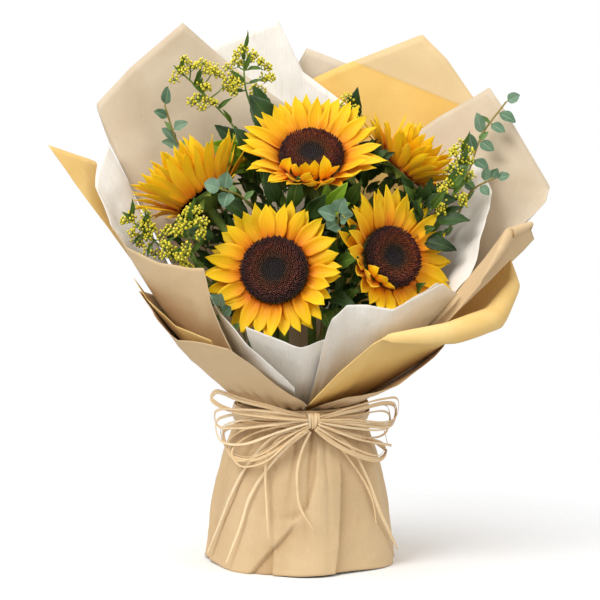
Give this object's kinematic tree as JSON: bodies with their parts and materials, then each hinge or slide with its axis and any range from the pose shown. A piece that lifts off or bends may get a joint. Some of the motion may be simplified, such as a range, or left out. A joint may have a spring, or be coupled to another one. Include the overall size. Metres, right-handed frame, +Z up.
{
  "type": "bunch of sunflowers",
  "caption": "Hand-tied bunch of sunflowers, eucalyptus and goldenrod in layered kraft, gold and tissue papers, standing on its cut stems and flared paper skirt, with a raffia bow.",
  "frame": {"origin": "under the middle of the bunch's bounding box, on the surface that it stands on", "axes": "+Z up, along the height; -Y is the front, where the raffia knot is; +X is the right side seen from the front"},
  "size_m": [0.5004, 0.281, 0.5431],
  "materials": {
    "petal": "satin",
    "seed_disc": "matte",
    "flower_stem": "satin",
    "sunflower_leaf": "satin",
    "fresh_leaf": "satin",
    "eucalyptus_leaf": "matte",
    "goldenrod": "matte",
    "kraft_paper": "matte",
    "taupe_paper": "matte",
    "gold_paper": "satin",
    "tissue": "matte",
    "raffia": "satin",
    "twine": "matte"
  },
  "bodies": {
    "root": {"seed_disc_top": "seed_disc", "petals_top": "petal", "stem_top": "flower_stem", "seed_disc_low": "seed_disc", "petals_low": "petal", "stem_low": "flower_stem", "seed_disc_right": "seed_disc", "petals_right": "petal", "stem_right": "flower_stem", "seed_disc_left": "seed_disc", "petals_left": "petal", "stem_left": "flower_stem", "seed_disc_back": "seed_disc", "petals_back": "petal", "stem_back": "flower_stem", "binding_twine": "twine", "paper_skirt": "kraft_paper", "wrap_taupe_back_left": "taupe_paper", "tissue_back": "tissue", "wrap_gold_left": "gold_paper", "tissue_left": "tissue", "wrap_taupe_peak": "taupe_paper", "wrap_gold_back_right": "gold_paper", "wrap_taupe_right": "taupe_paper", "tissue_right": "tissue", "wrap_kraft_scroll_right": "kraft_paper", "wrap_gold_front_right": "gold_paper", "wrap_kraft_front_right": "kraft_paper", "wrap_kraft_front_left_upper": "kraft_paper", "wrap_kraft_front_left_lower": "kraft_paper", "wrap_gold_sliver_left": "gold_paper", "tissue_front": "tissue", "tissue_front_flap": "tissue", "tissue_front_left": "tissue", "raffia_band": "raffia", "raffia_knot": "raffia", "raffia_loop_left_upper": "raffia", "raffia_loop_left_lower": "raffia", "raffia_loop_right_upper": "raffia", "raffia_loop_right_lower": "raffia", "raffia_tail_1": "raffia", "raffia_tail_2": "raffia", "raffia_tail_3": "raffia", "raffia_tail_4": "raffia", "raffia_tail_5": "raffia", "raffia_tail_6": "raffia", "leaf_upper_left": "sunflower_leaf", "leaf_mid_left": "fresh_leaf", "leaf_centre": "fresh_leaf", "eucalyptus_upper_left": "eucalyptus_leaf", "eucalyptus_mid_left": "eucalyptus_leaf", "eucalyptus_centre": "eucalyptus_leaf", "eucalyptus_low_left": "eucalyptus_leaf", "eucalyptus_long_right": "eucalyptus_leaf", "eucalyptus_low_right": "eucalyptus_leaf", "goldenrod_upper_left": "goldenrod", "goldenrod_upright": "goldenrod", "goldenrod_low_left": "goldenrod", "goldenrod_mid_left": "goldenrod", "goldenrod_right": "goldenrod"}
  },
  "joints": []
}
